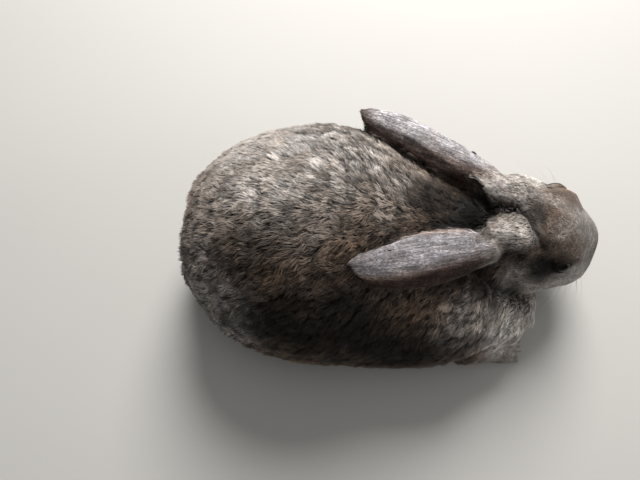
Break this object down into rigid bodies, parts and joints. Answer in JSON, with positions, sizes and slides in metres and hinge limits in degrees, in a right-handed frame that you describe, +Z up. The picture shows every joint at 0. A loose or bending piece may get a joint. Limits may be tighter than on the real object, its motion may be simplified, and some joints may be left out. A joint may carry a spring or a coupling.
{
  "type": "rabbit",
  "caption": "Life-size still model of a grey-brown lop-cross rabbit crouched on the ground, with its long ears laid back over its shoulders.",
  "frame": {"origin": "middle of the box round the whole rabbit, at floor level", "axes": "+X the way the trunk and head point, +Y the rabbit's left, +Z up"},
  "size_m": [0.3892, 0.2272, 0.172],
  "materials": {
    "body_fur": "matte grey-brown fur",
    "claw": "semi-matte dark horn",
    "ear_fur": "smooth blue-grey short fur",
    "eye": "wet dark brown",
    "foot_fur": "matte short fur",
    "head_fur": "matte grey-brown short fur",
    "tail_fur": "matte pale grey fur"
  },
  "bodies": {
    "root": {"ear_left": "ear_fur", "ear_right": "ear_fur", "eye_left": "eye", "eye_right": "eye", "fore_claw_left_1": "claw", "fore_claw_left_2": "claw", "fore_claw_left_3": "claw", "fore_claw_left_4": "claw", "fore_claw_right_1": "claw", "fore_claw_right_2": "claw", "fore_claw_right_3": "claw", "fore_claw_right_4": "claw", "foreleg_left": "foot_fur", "foreleg_right": "foot_fur", "head": "head_fur", "hind_claw_left_1": "claw", "hind_claw_left_2": "claw", "hind_claw_left_3": "claw", "hind_claw_left_4": "claw", "hind_claw_right_1": "claw", "hind_claw_right_2": "claw", "hind_foot_left": "foot_fur", "hind_foot_right": "foot_fur", "neck": "body_fur", "tail": "tail_fur", "thigh_left": "body_fur", "thigh_right": "body_fur", "trunk": "body_fur"}
  },
  "joints": []
}
